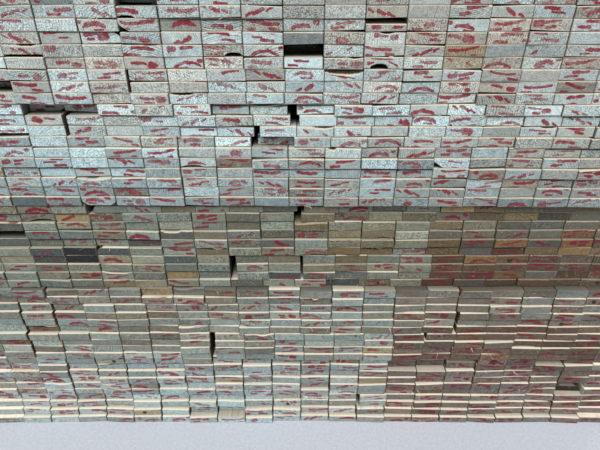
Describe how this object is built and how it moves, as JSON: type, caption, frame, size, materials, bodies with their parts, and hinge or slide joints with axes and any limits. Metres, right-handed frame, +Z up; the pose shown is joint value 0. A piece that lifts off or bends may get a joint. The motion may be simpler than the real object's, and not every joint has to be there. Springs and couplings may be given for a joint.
{
  "type": "stack of lumber",
  "caption": "Stack of narrow sawn softwood boards laid flat in close courses and tiers, with uneven ends, for storing building stock on a floor.",
  "frame": {"origin": "on the floor under the middle of the stack's bounding box", "axes": "+Z up, +Y along the boards from the front ends to the back ends, +X to the right across the board ends seen from the front"},
  "size_m": [1.4784, 2.5386, 0.95],
  "materials": {
    "sawn_wood": "bare rough-sawn softwood, weathered grey-green on the ends"
  },
  "bodies": {
    "root": {"course_01": "sawn_wood", "course_02": "sawn_wood", "course_03": "sawn_wood", "course_04": "sawn_wood", "course_05": "sawn_wood", "course_06": "sawn_wood", "course_07": "sawn_wood", "course_08": "sawn_wood", "course_09": "sawn_wood", "course_10": "sawn_wood", "course_11": "sawn_wood", "course_12": "sawn_wood", "course_13": "sawn_wood", "course_14": "sawn_wood", "course_15": "sawn_wood", "course_16": "sawn_wood", "course_17": "sawn_wood", "course_18": "sawn_wood", "course_19": "sawn_wood", "course_20": "sawn_wood", "course_21": "sawn_wood", "course_22": "sawn_wood", "course_23": "sawn_wood", "course_24": "sawn_wood", "course_25": "sawn_wood", "course_26": "sawn_wood", "course_27": "sawn_wood", "course_28": "sawn_wood", "course_29": "sawn_wood", "course_30": "sawn_wood", "course_31": "sawn_wood", "course_32": "sawn_wood", "course_33": "sawn_wood", "course_34": "sawn_wood", "course_35": "sawn_wood", "course_36": "sawn_wood", "course_37": "sawn_wood", "course_38": "sawn_wood", "course_39": "sawn_wood", "course_40": "sawn_wood", "course_41": "sawn_wood", "course_42": "sawn_wood", "course_43": "sawn_wood", "course_44": "sawn_wood", "course_45": "sawn_wood", "course_46": "sawn_wood", "course_47": "sawn_wood", "course_48": "sawn_wood", "course_49": "sawn_wood", "course_50": "sawn_wood"}
  },
  "joints": []
}
